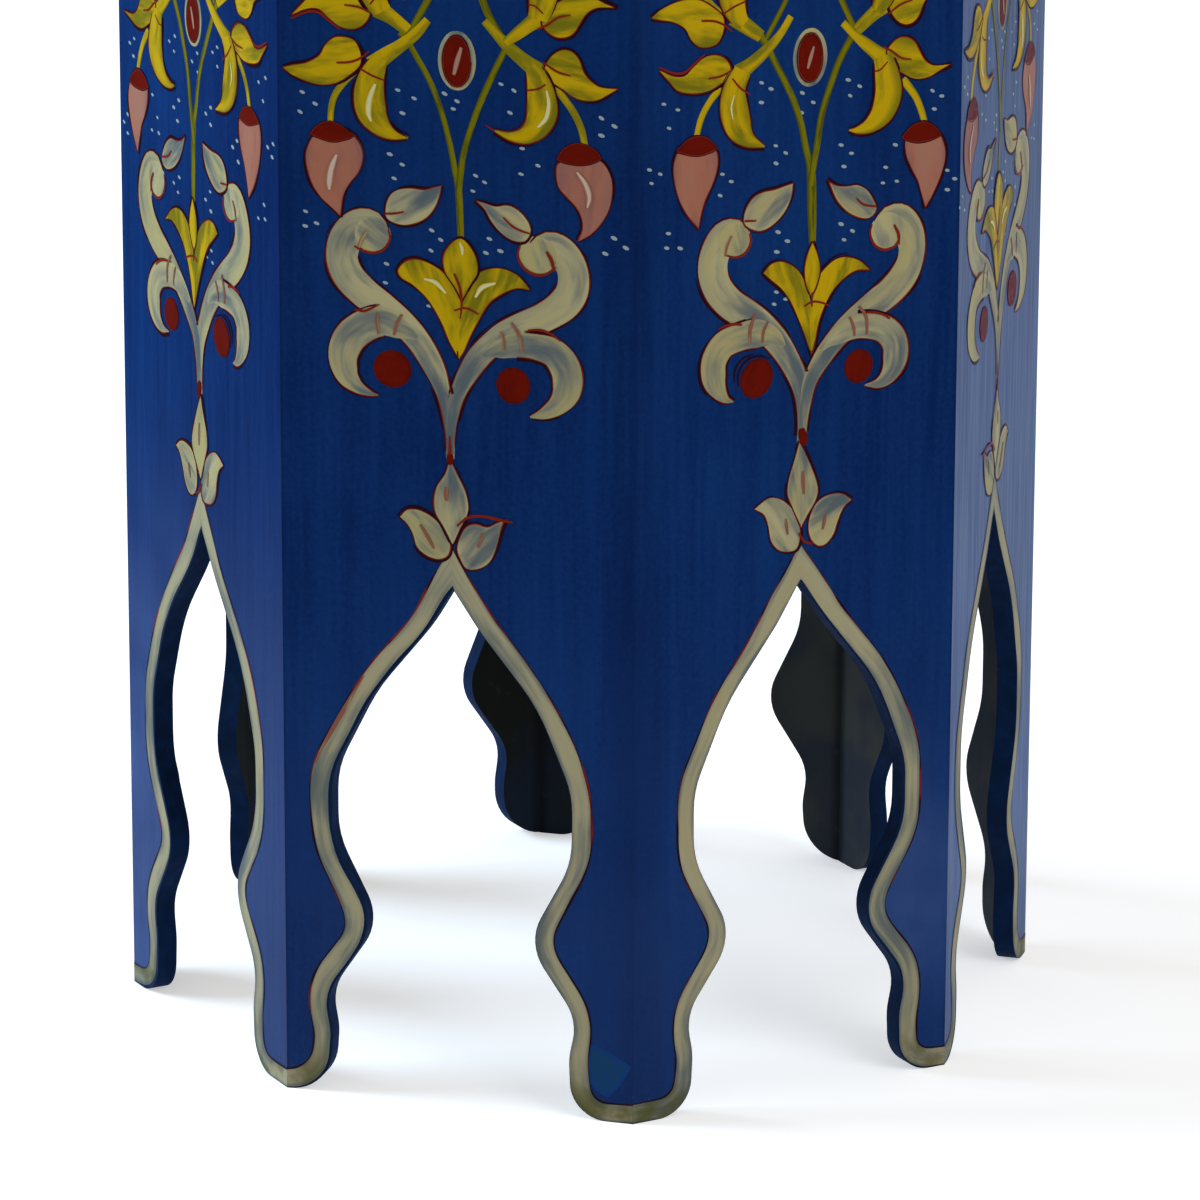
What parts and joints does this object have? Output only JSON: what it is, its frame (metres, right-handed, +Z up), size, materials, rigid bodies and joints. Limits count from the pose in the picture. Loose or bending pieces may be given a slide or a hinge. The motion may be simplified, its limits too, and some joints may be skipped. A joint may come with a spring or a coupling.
{
  "type": "octagonal side table",
  "caption": "Tall octagonal side table of painted wood with an arch sawn out of each side, a mitred moulding round the top and painted flowers and scrolls.",
  "frame": {"origin": "on the floor, under the middle of the table", "axes": "+Z up; the front panel faces -Y and +X is to its right"},
  "size_m": [0.4, 0.4, 0.711],
  "materials": {
    "painted_panel": "deep blue paint with painted ornament, satin varnish",
    "painted_moulding": "deep blue paint with cream bands, satin varnish",
    "painted_top": "deep blue paint with painted ornament, satin varnish",
    "bare_pine": "sawn pine, unfinished",
    "fastener_steel": "plain steel"
  },
  "bodies": {
    "root": {"side_panel_front": "painted_panel", "glue_block_front": "bare_pine", "top_cleat_front": "bare_pine", "edge_strip_front": "painted_moulding", "side_panel_front_right": "painted_panel", "glue_block_front_right": "bare_pine", "top_cleat_front_right": "bare_pine", "edge_strip_front_right": "painted_moulding", "side_panel_right": "painted_panel", "glue_block_right": "bare_pine", "top_cleat_right": "bare_pine", "edge_strip_right": "painted_moulding", "side_panel_back_right": "painted_panel", "glue_block_back_right": "bare_pine", "top_cleat_back_right": "bare_pine", "edge_strip_back_right": "painted_moulding", "side_panel_back": "painted_panel", "glue_block_back": "bare_pine", "top_cleat_back": "bare_pine", "edge_strip_back": "painted_moulding", "side_panel_back_left": "painted_panel", "glue_block_back_left": "bare_pine", "top_cleat_back_left": "bare_pine", "edge_strip_back_left": "painted_moulding", "side_panel_left": "painted_panel", "glue_block_left": "bare_pine", "top_cleat_left": "bare_pine", "edge_strip_left": "painted_moulding", "side_panel_front_left": "painted_panel", "glue_block_front_left": "bare_pine", "top_cleat_front_left": "bare_pine", "edge_strip_front_left": "painted_moulding", "top_plank_front": "painted_top", "top_plank_middle": "painted_top", "top_plank_back": "painted_top", "top_screws": "fastener_steel", "cleat_brads": "fastener_steel", "strip_brads": "fastener_steel"}
  },
  "joints": []
}
